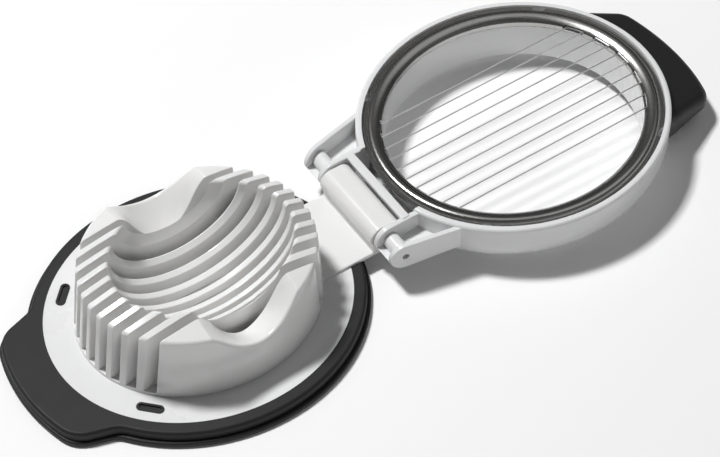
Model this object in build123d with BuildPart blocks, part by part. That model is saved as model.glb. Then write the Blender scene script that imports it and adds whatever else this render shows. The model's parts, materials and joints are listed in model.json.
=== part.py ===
"""Egg slicer: an oval base with a slotted cradle, and a hinged lid strung with cutting wires.

Millimetres. X runs along the wires, from the middle of the base towards the hinge. Y runs along the
hinge and Z goes up from the table. The lid is drawn fully open, as it lies when the slicer is loaded.
"""

import os
from math import asin, atan2, cos, degrees, radians, sin, sqrt

from build123d import *

# Wires
wire_count = 10
wire_pitch = 5.0
wire_diameter = 0.5
wire_depth = 2.0  # below the lid's rim

# Base plate and its soft rim
disc_margin = 10.0  # plate beyond the foot of the cradle
disc_thickness = 3.0
pad_thickness = 2.5  # soft foot pad under the plate
rim_width = 4.4
lip_width = 1.4  # foot of the rim beyond its upper part
lip_height = 2.0
rim_round = 1.2

# Outline of a tab, for the base and for the grip of the lid
tab_corner_setback = 4.9
tab_root_setback = 32.0
tab_side_slope = 0.3

# Soft tab of the base
tab_length = 9.3  # beyond the rim
tab_half_width = 23.9
tab_corner_round = 10.5
tab_join_round = 8.0
tab_core_inset = 4.0
tab_core_thickness = 1.5

# Plugs that hold the soft rim in the plate
plug_inset = 5.0
plug_angle = 41.6
plug_turn = 45.0
plug_length = 9.2
plug_width = 3.3
plug_border = 0.8
plug_proud = 0.25
plug_dimple = 0.6
plug_clearance = 0.05

# Cradle
foot_half_length = 42.5
foot_half_width = 36.1
end_draft = 2.4
side_draft = 1.1
floor_thickness = 1.2
slot_width = 2.8
bowl_half_length = 31.5
bowl_radius = 24.5
bowl_shift = 1.8  # the bowl sits a little nearer the hinge
bowl_over_wires = 0.4  # the closed wires pass this far under the bowl
crown_drop = 3.0  # from the edge of the bowl to the outer shoulder
shoulder_round = 1.2
bowl_edge_round = 1.2
scoop_round = 1.0
fin_round = 0.3
scoop_inner_depth = 20.2  # both depths are taken from the edge of the bowl
scoop_inner_half_width = 20.5
scoop_outer_depth = 10.4
scoop_outer_half_width = 22.0
peg_diameter = 4.0
peg_depth = 2.0
peg_spacing_x = 48.0
peg_spacing_y = 40.0
peg_clearance = 0.05

# Hinge
barrel_thickness = 8.6
barrel_width = 12.0
barrel_half_length = 15.2
barrel_edge_round = 0.4
neck_reach = 4.5  # wall under the barrel, from the axis towards the cradle
tongue_fillet = 1.0
tongue_edge_round = 0.5
hinge_rise = 6.1  # axis above the closed lid's rim
hinge_gap = 7.8  # axis beyond the lid's outer edge
pin_diameter = 2.5
pin_in_barrel = 7.0
pin_recess = 1.2
pin_press_clearance = 0.01
running_clearance = 0.05
open_tilt = 1.25  # degrees that the open lid rises from the hinge

# Lid
lid_clearance = 0.7  # closed rim above the tongue
ring_clearance_ends = 4.0  # opening around the foot of the cradle
ring_clearance_sides = 5.2
lid_height = 17.8
band_width = 6.8  # steel ring, from its lip to its flange
rim_wall = 2.3
rim_wall_round = 1.1
lid_edge_round = 9.0
channel_wall = 1.8
channel_depth = 13.0  # hollow behind the steel ring, below the lid's rim
ring_fit = 0.15
hinge_slit = 1.6  # open gap between the steel ring and the crossbar
hinge_slot_depth = 12.0

# Steel ring
steel_thickness = 0.6
flange_depth = 1.5
flange_width = 1.7
crest_rise = 1.5  # band's crest above its flange
crest_inset = 1.6  # crest inside the flange
lip_top_depth = 1.7
lip_bottom_depth = 3.4
window_margin = 0.45  # beyond the wires at each end of a window
window_bottom = 2.6
window_height = 1.7
window_reach = 1.3  # through the lip and into the slope above it
flange_notch_angle = 46.5
flange_notch_length = 4.8
flange_notch_depth = 1.35
flange_pocket_depth = 2.0
bend_clearance = 0.05

# Ears of the lid
ear_clearance = 0.4
ear_inner_wall = 2.1
ear_pocket = 6.2
ear_outer_wall = 1.8
ear_radius = 5.3
ear_flare = 5.0  # outer wall leans out this far on its way to the ring
ear_root_depth = 10.0  # where the ear's lower side meets the ring, below the lid's rim
ear_pocket_depth = 7.6
ear_edge_round = 0.5
boss_diameter = 5.8
crossbar_thickness = 3.4
crossbar_height = 4.4
crossbar_lean = 1.5  # its side towards the barrel leans back this far
crossbar_drop = 0.5
crossbar_round = 0.6

# Grip, sloping down from the open lid
grip_length = 16.4  # beyond the lid's outer edge
grip_half_width = 24.5
grip_tip_top = 13.0  # depths below the lid's rim
grip_tip_bottom = 17.5
grip_top_slope = 0.363
grip_bottom_slope = 0.16
grip_corner_round = 7.5
grip_top_round = 3.4
grip_bottom_round = 0.9
grip_core_inset = 3.5
grip_core_depth = 1.5  # below the top of the grip
grip_core_thickness = 2.0

# Levels and places that follow from these
disc_top = pad_thickness + disc_thickness
floor_top = disc_top + floor_thickness
closed_rim_height = floor_top + lid_clearance
closed_wire_height = closed_rim_height + wire_depth
bowl_height = closed_wire_height + wire_diameter / 2 + bowl_over_wires + bowl_radius
shoulder_height = bowl_height - crown_drop
shoulder_half_length = foot_half_length - end_draft
shoulder_half_width = foot_half_width - side_draft
disc_half_length = foot_half_length + disc_margin
disc_half_width = foot_half_width + disc_margin
rim_half_length = disc_half_length + rim_width
rim_half_width = disc_half_width + rim_width
wire_places = [(i - (wire_count - 1) / 2) * wire_pitch for i in range(wire_count)]

opening_half_length = foot_half_length + ring_clearance_ends
opening_half_width = foot_half_width + ring_clearance_sides
band_half_length = opening_half_length + band_width
band_half_width = opening_half_width + band_width
lid_half_length = band_half_length + rim_wall
lid_half_width = band_half_width + rim_wall

grip_tip = lid_half_length + grip_length
tab_tip = rim_half_length + tab_length
barrel_radius = barrel_thickness / 2
hinge_x = lid_half_length + hinge_gap
hinge_z = closed_rim_height + hinge_rise
tilt = radians(open_tilt)
lid_plane = Plane(
    origin=(
        hinge_x + hinge_x * cos(tilt) - hinge_rise * sin(tilt),
        0,
        hinge_z + hinge_x * sin(tilt) + hinge_rise * cos(tilt),
    ),
    x_dir=(cos(tilt), 0, sin(tilt)),
    z_dir=(-sin(tilt), 0, cos(tilt)),
)


def lid_point(x, y, height):
    """Place of a point given in the lid's own frame."""
    return lid_plane.from_local_coords((x, y, height))


def lid_side_plane(y):
    """Plane across the hinge axis at y, with its own X and Y along the lid's X and Z."""
    return Plane(origin=lid_point(0, y, 0), x_dir=lid_plane.x_dir, z_dir=(0, -1, 0))


def base_side_plane(x, y):
    """Upright plane across Y, with its own X and Y along X and Z."""
    return Plane(origin=(x, y, 0), x_dir=(1, 0, 0), z_dir=(0, -1, 0))


def oval_reach(half_length, half_width, y):
    """How far an oval reaches along X at this y."""
    return half_length * sqrt(1 - (y / half_width) ** 2)


def tab_outline(direction, tip, half_width, corner_round, inset=0.0):
    """Draw a rounded tab towards -X or +X, with sides that widen to its root."""
    corner = direction * (tip - tab_corner_setback - inset)
    root = direction * (tip - tab_root_setback)
    corner_half_width = half_width - inset
    root_half_width = corner_half_width + tab_side_slope * abs(corner - root)
    end = direction * (tip - inset)
    with BuildLine() as outline:
        Polyline((root, root_half_width), (corner, corner_half_width))
        ThreePointArc((corner, corner_half_width), (end, 0), (corner, -corner_half_width))
        Polyline((corner, -corner_half_width), (root, -root_half_width), (root, root_half_width))
        corners = outline.vertices().filter_by(lambda v: abs(v.X - corner) < 0.01)
        fillet(corners, corner_round)
    make_face(outline.edges())


def rim_outline(growth):
    """Draw the soft rim with its tab, running smoothly into each other."""
    Ellipse(rim_half_length + growth, rim_half_width + growth)
    tab_outline(-1, tab_tip, tab_half_width, tab_corner_round, -growth / 2)
    joins = vertices().sort_by(Axis.Y)
    fillet([joins[0], joins[-1]], tab_join_round)


def soften(part, edges, radius):
    """Round these edges, or leave them sharp where the shape has no room for the round."""
    try:
        fillet(edges, radius)
    except ValueError:
        print(f"{len(edges)} edges of {part} stay sharp")


def plug_places():
    """Middles and turns of the two plug holes, on an oval inside the plate's edge."""
    across = (disc_half_width - plug_inset) * sin(radians(plug_angle))
    along = -(disc_half_length - plug_inset) * cos(radians(plug_angle))
    return [(along, side * across, side * plug_turn) for side in (1, -1)]


os.makedirs("parts", exist_ok=True)

# Base plate
with BuildPart() as base_disc:
    with BuildSketch(Plane.XY.offset(pad_thickness)):
        tab_outline(-1, tab_tip, tab_half_width, tab_corner_round, tab_core_inset)
    extrude(amount=tab_core_thickness)
    with BuildSketch(Plane.XY.offset(pad_thickness)):
        Ellipse(disc_half_length, disc_half_width)
    extrude(amount=disc_thickness)
    with BuildSketch(Plane.XY.offset(pad_thickness)):
        for x, y, turn in plug_places():
            with Locations(Location((x, y, 0), (0, 0, turn))):
                SlotOverall(plug_length, plug_width)
    extrude(amount=disc_thickness, mode=Mode.SUBTRACT)
    with BuildSketch(Plane.XY.offset(disc_top)):
        with GridLocations(peg_spacing_x, peg_spacing_y, 2, 2):
            Circle(peg_diameter / 2 + peg_clearance)
    extrude(amount=-peg_depth - peg_clearance, mode=Mode.SUBTRACT)
base_disc.part.label = "base_disc"
export_step(base_disc.part, "parts/base_disc.step")

# Soft rim with its foot pad and tab
with BuildPart() as nonslip_rim:
    with BuildSketch():
        rim_outline(lip_width)
    extrude(amount=lip_height)
    fillet(nonslip_rim.edges().filter_by(Plane.XY), lip_height / 3)
    with BuildSketch(Plane.XY.offset(lip_height / 2)):
        rim_outline(0)
    extrude(amount=disc_top - lip_height / 2)
    fillet(nonslip_rim.edges().group_by(Axis.Z)[-1], rim_round)
    with BuildSketch(Plane.XY.offset(pad_thickness)):
        Ellipse(disc_half_length, disc_half_width)
    extrude(amount=disc_thickness + rim_round, mode=Mode.SUBTRACT)
    with BuildSketch(Plane.XY.offset(pad_thickness)):
        tab_outline(-1, tab_tip, tab_half_width, tab_corner_round, tab_core_inset)
    extrude(amount=tab_core_thickness, mode=Mode.SUBTRACT)
    with BuildSketch(Plane.XY.offset(pad_thickness)):
        for x, y, turn in plug_places():
            with Locations(Location((x, y, 0), (0, 0, turn))):
                SlotOverall(plug_length - 2 * plug_clearance, plug_width - 2 * plug_clearance)
    extrude(amount=disc_thickness + plug_proud)
    with BuildSketch(Plane.XY.offset(disc_top + plug_proud)):
        for x, y, turn in plug_places():
            with Locations(Location((x, y, 0), (0, 0, turn))):
                SlotOverall(plug_length - 2 * plug_border, plug_width - 2 * plug_border)
    extrude(amount=-plug_dimple, mode=Mode.SUBTRACT)
nonslip_rim.part.label = "nonslip_rim"
export_step(nonslip_rim.part, "parts/nonslip_rim.step")


def scoop_profile(floor, top, half_width):
    """Draw one end of a finger scoop: a valley with rounded shoulders, closed above the cradle."""
    middle = (floor + top) / 2
    with BuildLine() as outline:
        Spline(
            (-half_width, top),
            (-half_width / 2, middle),
            (0, floor),
            (half_width / 2, middle),
            (half_width, top),
            tangents=[(1, 0), (1, 0)],
        )
        Polyline(
            (half_width, top),
            (half_width, bowl_height + crown_drop),
            (-half_width, bowl_height + crown_drop),
            (-half_width, top),
        )
    make_face(outline.edges())


def is_scoop_edge(edge):
    """Whether an edge of the cradle bounds a scoop outside the outermost slots."""
    box = edge.bounding_box()
    beyond_slots = box.min.Y > wire_places[-1] - 0.1 or box.max.Y < wire_places[0] + 0.1
    across = box.max.Y - box.min.Y > 0.1
    in_scoop = max(abs(box.min.X - bowl_shift), abs(box.max.X - bowl_shift)) < scoop_outer_half_width
    return beyond_slots and across and in_scoop


# Tongue with the hinge barrel, which carries the lid
with BuildPart() as hinge_arm:
    with BuildSketch(Plane.XZ):
        with BuildLine():
            Polyline(
                (foot_half_length - 4, disc_top),
                (hinge_x - 0.5, disc_top),
                (hinge_x + barrel_width / 4, hinge_z - barrel_radius),
                (hinge_x + barrel_width / 4, hinge_z),
                (hinge_x - neck_reach, hinge_z),
                (hinge_x - neck_reach, floor_top),
                (foot_half_length - 4, floor_top),
                close=True,
            )
        make_face()
        bend = vertices().sort_by_distance((hinge_x - neck_reach, floor_top))[0]
        fillet(bend, tongue_fillet)
    extrude(amount=barrel_half_length, both=True)
    lengthwise = hinge_arm.edges().filter_by(Axis.X)
    tongue_edges = lengthwise.filter_by_position(Axis.Z, floor_top - 0.01, floor_top + 0.01)
    soften("the tongue", tongue_edges, tongue_edge_round)
    with BuildSketch(Plane.XZ):
        with Locations((hinge_x, hinge_z)):
            SlotOverall(barrel_width, barrel_thickness)
    extrude(amount=barrel_half_length, both=True)
    end_edges = hinge_arm.faces().filter_by(Axis.Y).edges()
    barrel_ends = end_edges.filter_by_position(Axis.Z, hinge_z, hinge_z + barrel_thickness)
    soften("the barrel", barrel_ends, barrel_edge_round)
    for side in (1, -1):
        with BuildSketch(base_side_plane(hinge_x, side * barrel_half_length)):
            with Locations((0, hinge_z)):
                Circle(pin_diameter / 2 + running_clearance)
        extrude(amount=side * (pin_in_barrel + 1), mode=Mode.SUBTRACT)

# Cradle, in one piece with the tongue
with BuildPart() as egg_cradle:
    with BuildSketch(Plane.XY.offset(disc_top)):
        Ellipse(foot_half_length, foot_half_width)
    with BuildSketch(Plane.XY.offset(shoulder_height)):
        Ellipse(shoulder_half_length, shoulder_half_width)
    loft(ruled=True)
    with BuildSketch(Plane.XY.offset(shoulder_height)):
        Ellipse(shoulder_half_length, shoulder_half_width)
    with BuildSketch(Plane.XY.offset(bowl_height)):
        with Locations((bowl_shift, 0)):
            Ellipse(bowl_half_length - 1, bowl_radius - 1)
    loft(ruled=True)
    with BuildSketch(Plane(origin=(bowl_shift, 0, bowl_height), x_dir=(1, 0, 0), z_dir=(0, -1, 0))):
        Ellipse(bowl_half_length, bowl_radius)
        Rectangle(2 * bowl_half_length, bowl_radius, align=(Align.CENTER, Align.MIN), mode=Mode.SUBTRACT)
    revolve(axis=Axis((bowl_shift, 0, bowl_height), (1, 0, 0)), mode=Mode.SUBTRACT)
    bowl_edge = egg_cradle.edges().filter_by_position(Axis.Z, shoulder_height + crown_drop / 2, bowl_height)
    soften("the bowl", bowl_edge, bowl_edge_round)
    for side in (1, -1):
        with BuildSketch(base_side_plane(bowl_shift, side * wire_places[-1])):
            scoop_profile(bowl_height - scoop_inner_depth, bowl_height, scoop_inner_half_width)
        with BuildSketch(base_side_plane(bowl_shift, side * (foot_half_width + 1))):
            scoop_profile(bowl_height - scoop_outer_depth, shoulder_height, scoop_outer_half_width)
        loft(ruled=True, mode=Mode.SUBTRACT)
    shoulder = egg_cradle.edges().filter_by_position(Axis.Z, shoulder_height - 0.01, shoulder_height + 0.01)
    soften("the shoulder", shoulder, shoulder_round)
    scoop_edges = [edge for edge in egg_cradle.edges() if is_scoop_edge(edge)]
    soften("the scoops", scoop_edges, scoop_round)
    with BuildSketch(Plane.XY.offset(floor_top)):
        for y in wire_places:
            with Locations((0, y)):
                Rectangle(2 * foot_half_length + 2, slot_width)
    extrude(amount=bowl_height, mode=Mode.SUBTRACT)
    for y in wire_places:
        for slot_side in (y - slot_width / 2, y + slot_width / 2):
            walls = egg_cradle.edges().filter_by_position(Axis.Y, slot_side - 0.001, slot_side + 0.001)
            fin_edges = [edge for edge in walls if edge.bounding_box().max.Z > floor_top + fin_round]
            soften("the fins", fin_edges, fin_round)
    add(hinge_arm.part)
    with BuildSketch(Plane.XY.offset(disc_top)):
        with GridLocations(peg_spacing_x, peg_spacing_y, 2, 2):
            Circle(peg_diameter / 2)
    extrude(amount=-peg_depth)
egg_cradle.part.label = "egg_cradle"
export_step(egg_cradle.part, "parts/egg_cradle.step")

# Lid frame
ear_start = barrel_half_length + ear_clearance
ear_pocket_start = ear_start + ear_inner_wall
ear_end_x = -hinge_x - ear_radius
ear_end_outer = ear_pocket_start + ear_pocket + ear_outer_wall
ear_root_outer = ear_end_outer + ear_flare
ear_root_x = -oval_reach(lid_half_length, lid_half_width, ear_root_outer)
crossbar_x = -band_half_length - hinge_slit


def ear_profile():
    """Draw the side view of an ear: round about the hinge, straight to the ring."""
    with Locations((-hinge_x, -hinge_rise)):
        Circle(ear_radius)
    with BuildLine() as outline:
        Polyline(
            (-hinge_x, ear_radius - hinge_rise),
            (ear_root_x, ear_radius - hinge_rise),
            (ear_root_x, -ear_root_depth),
            (-hinge_x, -hinge_rise - ear_radius),
            close=True,
        )
    make_face(outline.edges())


def ear_plan(side, inner, outer_wall):
    """Draw the plan of an ear from its inner side out, less a wall along its leaning outer side."""
    with BuildLine() as outline:
        Polyline(
            (ear_end_x, side * inner),
            (ear_root_x, side * inner),
            (ear_root_x, side * (ear_root_outer - outer_wall)),
            (ear_end_x, side * (ear_end_outer - outer_wall)),
            close=True,
        )
    make_face(outline.edges())


def is_ear_edge(edge):
    """Whether an edge runs along the top or round the nose of an ear, inside its outer face."""
    box = edge.bounding_box()
    along = box.max.X - box.min.X > 1
    upper = box.max.Z > hinge_z + ear_radius / 2
    return along and upper and abs(box.center().Y) < ear_end_outer


with BuildPart() as ears:
    for side in (1, -1):
        with BuildSketch(lid_plane.offset(-2 * lid_height)):
            ear_plan(side, ear_start, 0)
        extrude(amount=2 * lid_height)
    with BuildSketch(lid_side_plane(0)):
        ear_profile()
    extrude(amount=ear_root_outer, both=True, mode=Mode.INTERSECT)
    for side in (1, -1):
        with BuildSketch(lid_plane.offset(-ear_pocket_depth)):
            ear_plan(side, ear_pocket_start, ear_outer_wall)
        extrude(amount=ear_pocket_depth, mode=Mode.SUBTRACT)
    soften("the ears", [edge for edge in ears.edges() if is_ear_edge(edge)], ear_edge_round)
    for side in (1, -1):
        with BuildSketch(lid_side_plane(side * ear_pocket_start)):
            with Locations((-hinge_x, -hinge_rise)):
                Circle(boss_diameter / 2)
        extrude(amount=-side * (ear_pocket + ear_outer_wall / 2))


def grip_slab(top, bottom, bottom_slope):
    """Draw a slab in side view from its levels at the tip of the grip, rising to the root."""
    root = grip_tip - tab_root_setback
    with BuildLine() as outline:
        Polyline(
            (grip_tip, top),
            (root, top + grip_top_slope * tab_root_setback),
            (root, bottom + bottom_slope * tab_root_setback),
            (grip_tip, bottom),
            close=True,
        )
    make_face(outline.edges())


def flange_notches():
    """Draw the four oval notches at the outer edge of the steel ring's flange."""
    for notch_angle in (flange_notch_angle, 180 - flange_notch_angle):
        for side in (1, -1):
            along = band_half_length * cos(radians(notch_angle))
            across = side * band_half_width * sin(radians(notch_angle))
            turn = degrees(atan2(across / band_half_width**2, along / band_half_length**2)) + 90
            with Locations(Location((along, across, 0), (0, 0, turn))):
                Ellipse(flange_notch_length / 2, flange_notch_depth)


# Core of the frame inside the grip
core_top = -grip_tip_top - grip_core_depth
with BuildPart() as grip_core:
    with BuildSketch(lid_side_plane(0)):
        grip_slab(core_top, core_top - grip_core_thickness, grip_top_slope)
    extrude(amount=2 * grip_half_width, both=True)
    with BuildSketch(lid_plane.offset(-2 * grip_tip_bottom)):
        tab_outline(1, grip_tip, grip_half_width, grip_corner_round, grip_core_inset)
    extrude(amount=3 * grip_tip_bottom, mode=Mode.INTERSECT)

lid_axis = Axis(lid_plane.origin, lid_plane.z_dir)
seat_depth = flange_depth + steel_thickness / 2
ledge_half_length = band_half_length - flange_width + ring_fit
ledge_half_width = band_half_width - flange_width + ring_fit
inner_wall_depth = lip_bottom_depth + ring_fit

with BuildPart() as lid_body:
    with BuildSketch(lid_plane.offset(-lid_height)):
        Ellipse(lid_half_length, lid_half_width)
    extrude(amount=lid_height)
    fillet(lid_body.edges().sort_by(lid_axis)[0], lid_edge_round)
    fillet(lid_body.edges().sort_by(lid_axis)[-1], rim_wall_round)

with BuildPart() as lid_frame:
    add(lid_body.part)
    add(ears.part)
    with BuildSketch(lid_plane.offset(-hinge_slot_depth)):
        with Locations((-hinge_x / 2, 0)):
            Rectangle(hinge_x, 2 * ear_start)
        Ellipse(opening_half_length + channel_wall, opening_half_width + channel_wall, mode=Mode.SUBTRACT)
    extrude(amount=hinge_slot_depth, mode=Mode.SUBTRACT)
    with BuildSketch(lid_side_plane(0)):
        with BuildLine():
            Polyline(
                (crossbar_x, -crossbar_drop),
                (crossbar_x, -crossbar_drop - crossbar_height),
                (crossbar_x - crossbar_thickness + crossbar_lean, -crossbar_drop - crossbar_height),
                (crossbar_x - crossbar_thickness, -crossbar_drop),
                close=True,
            )
        make_face()
        fillet(vertices().group_by(Axis.Y)[-1], crossbar_round)
    extrude(amount=ear_start + ear_inner_wall / 2, both=True)
    add(grip_core.part)
    with BuildSketch(lid_plane.offset(-seat_depth)):
        Ellipse(band_half_length + ring_fit, band_half_width + ring_fit)
    extrude(amount=seat_depth, mode=Mode.SUBTRACT)
    with BuildSketch(lid_plane.offset(-inner_wall_depth)):
        Ellipse(ledge_half_length, ledge_half_width)
    extrude(amount=inner_wall_depth, mode=Mode.SUBTRACT)
    with BuildSketch(lid_plane.offset(-channel_depth)):
        Ellipse(ledge_half_length, ledge_half_width)
        Ellipse(opening_half_length + channel_wall, opening_half_width + channel_wall, mode=Mode.SUBTRACT)
    extrude(amount=channel_depth, mode=Mode.SUBTRACT)
    with BuildSketch(lid_plane.offset(-lid_height)):
        Ellipse(opening_half_length, opening_half_width)
    extrude(amount=lid_height, mode=Mode.SUBTRACT)
    with BuildSketch(lid_plane.offset(-seat_depth - flange_pocket_depth)):
        flange_notches()
    extrude(amount=flange_pocket_depth, mode=Mode.SUBTRACT)
    with BuildSketch(lid_side_plane(0)):
        with Locations((-hinge_x, -hinge_rise)):
            Circle(pin_diameter / 2 + pin_press_clearance)
    extrude(amount=ear_root_outer, both=True, mode=Mode.SUBTRACT)
lid_frame.part.label = "lid_frame"
export_step(lid_frame.part, "parts/lid_frame.step")

# Hinge pins, pressed into the ears and turning in the barrel
pin_start = barrel_half_length - pin_in_barrel
pin_end = ear_end_outer - pin_recess
for side, place in ((-1, "front"), (1, "back")):
    with BuildPart() as hinge_pin:
        with BuildSketch(base_side_plane(hinge_x, side * pin_start)):
            with Locations((0, hinge_z)):
                Circle(pin_diameter / 2)
        extrude(amount=-side * (pin_end - pin_start))
        chamfer(hinge_pin.edges(), 0.3)
    hinge_pin.part.label = f"hinge_pin_{place}"
    export_step(hinge_pin.part, f"parts/hinge_pin_{place}.step")



def wire_windows():
    """Side of the ring, first wire and last wire of each window in its lip."""
    grip_side = [(1, near, near + 1) for near in range(0, wire_count - 1, 2)]
    hinge_side = [(-1, near, near + 1) for near in range(1, wire_count - 1, 2)]
    single = [(-1, 0, 0), (-1, wire_count - 1, wire_count - 1)]
    return grip_side + hinge_side + single


# Steel ring that carries the wires
lip_offset = steel_thickness / 2
crest = (band_half_length - flange_width - crest_inset, crest_rise - flange_depth - steel_thickness / 2)
with BuildPart() as wire_ring:
    with BuildLine(lid_plane.offset(-flange_depth)) as ring_path:
        EllipticalCenterArc((0, 0), opening_half_length, opening_half_width, arc_size=360)
    with BuildSketch(lid_side_plane(0)):
        with BuildLine():
            Polyline(
                (band_half_length, -flange_depth),
                (band_half_length - flange_width, -flange_depth),
            )
            TangentArc(crest, (band_half_length - flange_width, -flange_depth), tangent=(1, 0))
            TangentArc(crest, (opening_half_length + lip_offset, -lip_top_depth), tangent=(-1, 0))
            Polyline(
                (opening_half_length + lip_offset, -lip_top_depth),
                (opening_half_length + lip_offset, -lip_bottom_depth),
            )
        trace(line_width=steel_thickness)
    sweep(path=ring_path.wires()[0])
    with BuildSketch(lid_plane.offset(-window_bottom)):
        for direction, first_wire, last_wire in wire_windows():
            middle = (wire_places[first_wire] + wire_places[last_wire]) / 2
            width = wire_places[last_wire] - wire_places[first_wire] + wire_diameter + 2 * window_margin
            with Locations((direction * opening_half_length / 2, middle)):
                Rectangle(2 * opening_half_length, width)
        Ellipse(opening_half_length + window_reach, opening_half_width + window_reach, mode=Mode.INTERSECT)
        Ellipse(opening_half_length - window_reach, opening_half_width - window_reach, mode=Mode.SUBTRACT)
    extrude(amount=window_height, mode=Mode.SUBTRACT)
    with BuildSketch(lid_plane.offset(-2 * flange_depth)):
        flange_notches()
    extrude(amount=2 * flange_depth, mode=Mode.SUBTRACT)
wire_ring.part.label = "wire_ring"
export_step(wire_ring.part, "parts/wire_ring.step")

# Cutting wires: straight runs across the opening
bend_half_length = opening_half_length + steel_thickness + bend_clearance + wire_diameter / 2
bend_half_width = opening_half_width + steel_thickness + bend_clearance + wire_diameter / 2


def wire_reach(y):
    """Half the length of the run at this y: it ends just short of the turn, which crosses it at a slant."""
    turn_middle = oval_reach(bend_half_length, bend_half_width, y)
    slant = abs(y / bend_half_width**2) / (turn_middle / bend_half_length**2)
    turn_reach = (wire_diameter / 2 + bend_clearance) * sqrt(1 + slant**2)
    return turn_middle - turn_reach - slant * wire_diameter / 2


for number, y in enumerate(wire_places, 1):
    reach = wire_reach(y)
    with BuildPart() as wire:
        start = lid_point(-reach, y, -wire_depth)
        with BuildSketch(Plane(origin=start, x_dir=(0, 1, 0), z_dir=lid_plane.x_dir)):
            Circle(wire_diameter / 2)
        extrude(amount=2 * reach)
    wire.part.label = f"wire_{number:02d}"
    export_step(wire.part, f"parts/wire_{number:02d}.step")

# Turns of the wire between neighbouring runs, around the inside of the steel ring
turn_overhang = asin(wire_diameter / bend_half_width)
for place, first_wire in (("grip", 0), ("hinge", 1)):
    with BuildPart() as wire_bends:
        for near in range(first_wire, wire_count - 1, 2):
            first_angle = degrees(asin(wire_places[near] / bend_half_width) - turn_overhang)
            last_angle = degrees(asin(wire_places[near + 1] / bend_half_width) + turn_overhang)
            arc_start = first_angle if place == "grip" else 180 - last_angle
            with BuildLine(lid_plane.offset(-wire_depth)) as turn_path:
                EllipticalCenterArc(
                    (0, 0),
                    bend_half_length,
                    bend_half_width,
                    start_angle=arc_start,
                    arc_size=last_angle - first_angle,
                )
            with BuildSketch(Plane(origin=turn_path.line @ 0, z_dir=turn_path.line % 0)):
                Circle(wire_diameter / 2)
            sweep(path=turn_path.wires()[0])
    wire_bends.part.label = f"wire_bends_{place}"
    export_step(wire_bends.part, f"parts/wire_bends_{place}.step")

# Soft grip moulded over the frame's core
with BuildPart() as lid_grip:
    with BuildSketch(lid_side_plane(0)):
        grip_slab(-grip_tip_top, -grip_tip_bottom, grip_bottom_slope)
    extrude(amount=2 * grip_half_width, both=True)
    with BuildSketch(lid_plane.offset(-2 * grip_tip_bottom)):
        tab_outline(1, grip_tip, grip_half_width, grip_corner_round)
    extrude(amount=3 * grip_tip_bottom, mode=Mode.INTERSECT)
    soften("the grip", lid_grip.faces().sort_by(lid_axis)[-1].edges(), grip_top_round)
    soften("the grip", lid_grip.faces().sort_by(lid_axis)[0].edges(), grip_bottom_round)
    add(lid_body.part, mode=Mode.SUBTRACT)
    add(grip_core.part, mode=Mode.SUBTRACT)
lid_grip.part.label = "lid_grip"
export_step(lid_grip.part, "parts/lid_grip.step")
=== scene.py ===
"""Looks for the egg slicer: finishes for its solids, a pale floor, studio light and the camera."""

import json
from math import radians

import bpy
from mathutils import Matrix, Vector


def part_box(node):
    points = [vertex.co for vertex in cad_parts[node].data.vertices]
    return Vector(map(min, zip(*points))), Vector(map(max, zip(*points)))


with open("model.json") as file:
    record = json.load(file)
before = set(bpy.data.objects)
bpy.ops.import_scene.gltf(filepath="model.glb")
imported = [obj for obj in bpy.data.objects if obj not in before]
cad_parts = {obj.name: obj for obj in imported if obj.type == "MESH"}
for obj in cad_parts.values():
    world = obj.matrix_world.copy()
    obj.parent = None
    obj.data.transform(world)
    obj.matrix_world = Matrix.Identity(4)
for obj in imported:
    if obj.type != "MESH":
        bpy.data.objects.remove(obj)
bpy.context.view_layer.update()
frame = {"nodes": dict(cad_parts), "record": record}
nodes = frame["nodes"]

# Camera, as fitted to the photograph
camera_place = Vector((-0.2681, -0.4602, 0.6888))
camera_target = Vector((0.06407, 0.00049, 0.0))
camera_roll = radians(1.78)
camera_lens = 132.3
sensor_width = 36.0

# Light: one lamp behind the slicer, and a dim room with a soft panel overhead and a paler front
lamp_place = Vector((-0.35, 0.71, 1.72))
lamp_target = Vector((0.06, 0.0, 0.015))
lamp_size = 0.26
lamp_power = 34.0
horizon_light = 0.08
zenith_light = 0.01
front_light = 0.16
front_edge = -0.3  # Y of the directions at which the paler front begins and is full
front_full = -0.9
panel_light = 0.6
panel_direction = Vector((0.42, 0.0, 0.91)).normalized()
panel_edge = 0.9  # cosines of the angles at which the panel begins and is full
panel_full = 0.97

# Floor
floor_size = 8.0
floor_drop = 0.0002
floor_colour = (0.94, 0.94, 0.94, 1.0)
floor_glow = 0.02  # seen by the camera and in reflections, and lights nothing


def add_node(tree, kind, settings=None, **inputs):
    """Add a shader node; inputs are socket names with _ for spaces, set to a value or linked to a socket."""
    made = tree.nodes.new(kind)
    for name, value in (settings or {}).items():
        setattr(made, name, value)
    for name, value in inputs.items():
        feed(tree, made.inputs[name.replace("_", " ")], value)
    return made


def feed(tree, socket, value):
    """Link a socket to another one, or set it to a plain value."""
    if isinstance(value, bpy.types.NodeSocket):
        tree.links.new(value, socket)
    else:
        socket.default_value = value


def combine(tree, operation, first, second):
    """Number made from two numbers by a maths operation."""
    made = add_node(tree, "ShaderNodeMath", {"operation": operation})
    feed(tree, made.inputs[0], first)
    feed(tree, made.inputs[1], second)
    return made.outputs["Value"]


def combine_vectors(tree, operation, first, second):
    """Node that joins two vectors by a vector operation."""
    made = add_node(tree, "ShaderNodeVectorMath", {"operation": operation})
    feed(tree, made.inputs[0], first)
    feed(tree, made.inputs[1], second)
    return made


def new_material(name):
    """An empty node material with a principled shader on its output."""
    material = bpy.data.materials.new(name)
    material.use_nodes = True
    tree = material.node_tree
    tree.nodes.clear()
    shader = tree.nodes.new("ShaderNodeBsdfPrincipled")
    output = tree.nodes.new("ShaderNodeOutputMaterial")
    tree.links.new(shader.outputs["BSDF"], output.inputs["Surface"])
    return material, tree, shader


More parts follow.
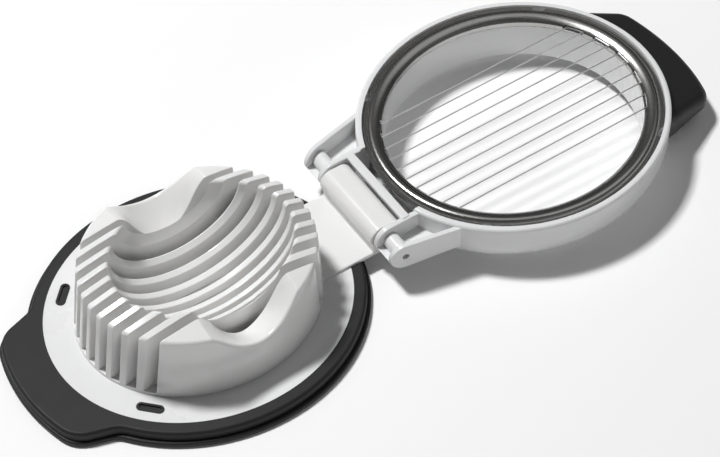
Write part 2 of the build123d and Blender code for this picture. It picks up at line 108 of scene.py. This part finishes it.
def object_position(tree):
    """Socket with the place on the piece, in metres."""
    return tree.nodes.new("ShaderNodeTexCoord").outputs["Object"]


def stretched(tree, vector, scale):
    """Scale a vector socket along each axis."""
    mapping = add_node(tree, "ShaderNodeMapping", Vector=vector, Scale=scale)
    return mapping.outputs["Vector"]


def noise(tree, vector, scale, detail=3.0, roughness=0.55):
    """Noise over the piece, from 0 to 1."""
    made = add_node(tree, "ShaderNodeTexNoise", Vector=vector, Scale=scale, Detail=detail)
    made.inputs["Roughness"].default_value = roughness
    return made.outputs["Fac"]


def blend_colours(tree, factor, low, high):
    """Map a factor to a colour between two colours."""
    made = add_node(tree, "ShaderNodeMix", {"data_type": "RGBA"}, Factor=factor)
    colour_inputs = [socket for socket in made.inputs if socket.type == "RGBA"]
    colour_inputs[0].default_value = low
    colour_inputs[1].default_value = high
    colour_outputs = [socket for socket in made.outputs if socket.type == "RGBA"]
    return colour_outputs[0]


def spread(tree, factor, low, high, source_low=0.3, source_high=0.7):
    """Map a factor to a number between two numbers."""
    made = add_node(tree, "ShaderNodeMapRange", Value=factor, To_Min=low, To_Max=high)
    made.inputs["From Min"].default_value = source_low
    made.inputs["From Max"].default_value = source_high
    return made.outputs["Result"]


def bump(tree, height, distance, strength, normal=None):
    """Bump from a height that runs from 0 to 1, over a distance in metres."""
    made = add_node(tree, "ShaderNodeBump", Height=height, Distance=distance, Strength=strength)
    if normal is not None:
        tree.links.new(normal, made.inputs["Normal"])
    return made.outputs["Normal"]


def white_plastic(name, colour, shade, roughness):
    """Glossy white moulding: faint flow marks, a fine mould texture and uneven gloss."""
    material, tree, shader = new_material(name)
    place = object_position(tree)
    flow = noise(tree, stretched(tree, place, (1.0, 1.6, 2.4)), scale=45.0)
    grain = noise(tree, place, scale=2600.0, detail=2.0)
    waves = noise(tree, place, scale=55.0, detail=1.0)
    gloss = spread(tree, flow, low=0.92 * roughness, high=1.1 * roughness)
    soft = bump(tree, waves, distance=0.00003, strength=0.12)
    feed(tree, shader.inputs["Base Color"], blend_colours(tree, flow, shade, colour))
    feed(tree, shader.inputs["Roughness"], gloss)
    feed(tree, shader.inputs["Normal"], bump(tree, grain, distance=0.00002, strength=0.3, normal=soft))
    shader.inputs["IOR"].default_value = 1.5
    shader.inputs["Subsurface Weight"].default_value = 0.12
    shader.inputs["Subsurface Radius"].default_value = (0.0025, 0.0022, 0.002)
    shader.inputs["Subsurface Scale"].default_value = 1.0
    return material


def soft_black(name, colour, worn, roughness):
    """Matte soft-touch rubber: fine grain, mottling and a little dust."""
    material, tree, shader = new_material(name)
    place = object_position(tree)
    mottle = noise(tree, place, scale=160.0, detail=5.0, roughness=0.65)
    grain = noise(tree, place, scale=3200.0, detail=3.0, roughness=0.6)
    gloss = spread(tree, mottle, low=0.9 * roughness, high=1.12 * roughness)
    feed(tree, shader.inputs["Base Color"], blend_colours(tree, mottle, colour, worn))
    feed(tree, shader.inputs["Roughness"], gloss)
    feed(tree, shader.inputs["Normal"], bump(tree, grain, distance=0.00006, strength=0.5))
    shader.inputs["Specular IOR Level"].default_value = 0.32
    return material


def ring_steel(name, colour, shade, roughness, centre):
    """Polished pressed steel: fine lines around the ring and a cloudy polish."""
    material, tree, shader = new_material(name)
    place = object_position(tree)
    from_centre = combine_vectors(tree, "SUBTRACT", place, centre).outputs["Vector"]
    length = add_node(tree, "ShaderNodeVectorMath", {"operation": "LENGTH"}, Vector=from_centre)
    radius = length.outputs["Value"]
    rings = add_node(tree, "ShaderNodeTexNoise", {"noise_dimensions": "1D"}, W=radius, Scale=2200.0)
    rings.inputs["Detail"].default_value = 4.0
    lines = rings.outputs["Fac"]
    cloud = noise(tree, place, scale=70.0, detail=4.0)
    gloss = spread(tree, lines, low=0.92 * roughness, high=1.1 * roughness)
    feed(tree, shader.inputs["Base Color"], blend_colours(tree, cloud, shade, colour))
    feed(tree, shader.inputs["Roughness"], gloss)
    feed(tree, shader.inputs["Normal"], bump(tree, lines, distance=0.00001, strength=0.1))
    shader.inputs["Metallic"].default_value = 1.0
    return material


def drawn_steel(name, colour, shade, roughness, stretch):
    """Drawn steel wire or pin: streaks along its length."""
    material, tree, shader = new_material(name)
    place = object_position(tree)
    streaks = noise(tree, stretched(tree, place, stretch), scale=900.0)
    gloss = spread(tree, streaks, low=0.8 * roughness, high=1.25 * roughness)
    feed(tree, shader.inputs["Base Color"], blend_colours(tree, streaks, shade, colour))
    feed(tree, shader.inputs["Roughness"], gloss)
    feed(tree, shader.inputs["Normal"], bump(tree, streaks, distance=0.00001, strength=0.3))
    shader.inputs["Metallic"].default_value = 1.0
    return material


def make_finishes():
    """Materials by the name of the slot that they fill."""
    ring_low, ring_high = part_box("wire_ring")
    ring_centre = (ring_low + ring_high) / 2
    return {
        "cradle_white": white_plastic(
            "cradle_white", colour=(0.85, 0.848, 0.842, 1), shade=(0.82, 0.818, 0.812, 1), roughness=0.15
        ),
        "base_white": white_plastic(
            "base_white", colour=(0.8, 0.802, 0.805, 1), shade=(0.77, 0.772, 0.775, 1), roughness=0.28
        ),
        "lid_white": white_plastic(
            "lid_white", colour=(0.81, 0.812, 0.815, 1), shade=(0.78, 0.782, 0.785, 1), roughness=0.16
        ),
        "soft_black": soft_black(
            "soft_black", colour=(0.011, 0.011, 0.0115, 1), worn=(0.019, 0.019, 0.0195, 1), roughness=0.55
        ),
        "grip_black": soft_black(
            "grip_black", colour=(0.007, 0.007, 0.0072, 1), worn=(0.012, 0.012, 0.0124, 1), roughness=0.5
        ),
        "ring_steel": ring_steel(
            "ring_steel",
            colour=(0.48, 0.475, 0.465, 1),
            shade=(0.36, 0.358, 0.352, 1),
            roughness=0.26,
            centre=ring_centre,
        ),
        "wire_steel": drawn_steel(
            "wire_steel",
            colour=(0.88, 0.88, 0.88, 1),
            shade=(0.72, 0.72, 0.72, 1),
            roughness=0.4,
            stretch=(0.03, 1.0, 1.0),
        ),
        "pin_steel": drawn_steel(
            "pin_steel",
            colour=(0.55, 0.55, 0.55, 1),
            shade=(0.42, 0.42, 0.42, 1),
            roughness=0.3,
            stretch=(1.0, 0.05, 1.0),
        ),
    }


def make_floor():
    """Pale floor that shows white to the eye and keeps the slicer's shadow."""
    bpy.ops.mesh.primitive_plane_add(size=floor_size, location=(0, 0, -floor_drop))
    floor = bpy.context.object
    floor.name = "floor"
    material = bpy.data.materials.new("floor")
    material.use_nodes = True
    tree = material.node_tree
    tree.nodes.clear()
    diffuse = add_node(tree, "ShaderNodeBsdfDiffuse", Color=floor_colour)
    paths = tree.nodes.new("ShaderNodeLightPath").outputs
    mirrored = combine(tree, "MAXIMUM", paths["Is Camera Ray"], paths["Is Glossy Ray"])
    shown = combine(tree, "MAXIMUM", mirrored, paths["Is Transmission Ray"])
    glow = add_node(tree, "ShaderNodeEmission", Strength=combine(tree, "MULTIPLY", shown, floor_glow))
    both = tree.nodes.new("ShaderNodeAddShader")
    tree.links.new(diffuse.outputs["BSDF"], both.inputs[0])
    tree.links.new(glow.outputs["Emission"], both.inputs[1])
    output = tree.nodes.new("ShaderNodeOutputMaterial")
    tree.links.new(both.outputs["Shader"], output.inputs["Surface"])
    floor.data.materials.append(material)


def make_world():
    """Dim room that fades towards the zenith, with a soft panel overhead and a paler front."""
    world = bpy.data.worlds.new("studio")
    bpy.context.scene.world = world
    world.use_nodes = True
    tree = world.node_tree
    direction = tree.nodes.new("ShaderNodeTexCoord").outputs["Generated"]
    along = add_node(tree, "ShaderNodeSeparateXYZ", Vector=direction).outputs
    facing = combine_vectors(tree, "DOT_PRODUCT", direction, panel_direction).outputs["Value"]
    room = spread(tree, along["Z"], horizon_light, zenith_light, source_low=0.0, source_high=1.0)
    front = spread(tree, along["Y"], 0.0, front_light, source_low=front_edge, source_high=front_full)
    panel = spread(tree, facing, 0.0, panel_light, source_low=panel_edge, source_high=panel_full)
    background = tree.nodes["Background"]
    strength = combine(tree, "ADD", combine(tree, "ADD", room, front), panel)
    feed(tree, background.inputs["Strength"], strength)
    background.inputs["Color"].default_value = (1.0, 1.0, 1.0, 1.0)


def aim(thing, place, target):
    """Place a lamp or camera and point it at the target."""
    thing.location = place
    thing.rotation_euler = (target - place).to_track_quat("-Z", "Y").to_euler()


def make_lamp():
    """Small square lamp that throws the slicer's shadow towards the viewer."""
    data = bpy.data.lights.new("lamp", "AREA")
    data.shape = "SQUARE"
    data.size = lamp_size
    data.energy = lamp_power
    lamp = bpy.data.objects.new("lamp", data)
    bpy.context.scene.collection.objects.link(lamp)
    aim(lamp, lamp_place, lamp_target)


def make_camera():
    """Camera at the photograph's angle."""
    data = bpy.data.cameras.new("camera")
    data.sensor_fit = "HORIZONTAL"
    data.sensor_width = sensor_width
    data.lens = camera_lens
    camera = bpy.data.objects.new("camera", data)
    bpy.context.scene.collection.objects.link(camera)
    aim(camera, camera_place, camera_target)
    turned = camera.rotation_euler.to_matrix() @ Matrix.Rotation(camera_roll, 3, "Z")
    camera.rotation_euler = turned.to_euler()
    bpy.context.scene.camera = camera


finishes = make_finishes()
for entry in frame["record"]["subparts"]:
    piece = nodes[entry["node"]]
    piece.data.materials.clear()
    piece.data.materials.append(finishes[entry["material_slot"]])

make_floor()
make_world()
make_lamp()
make_camera()
bpy.context.scene.view_settings.view_transform = "Standard"
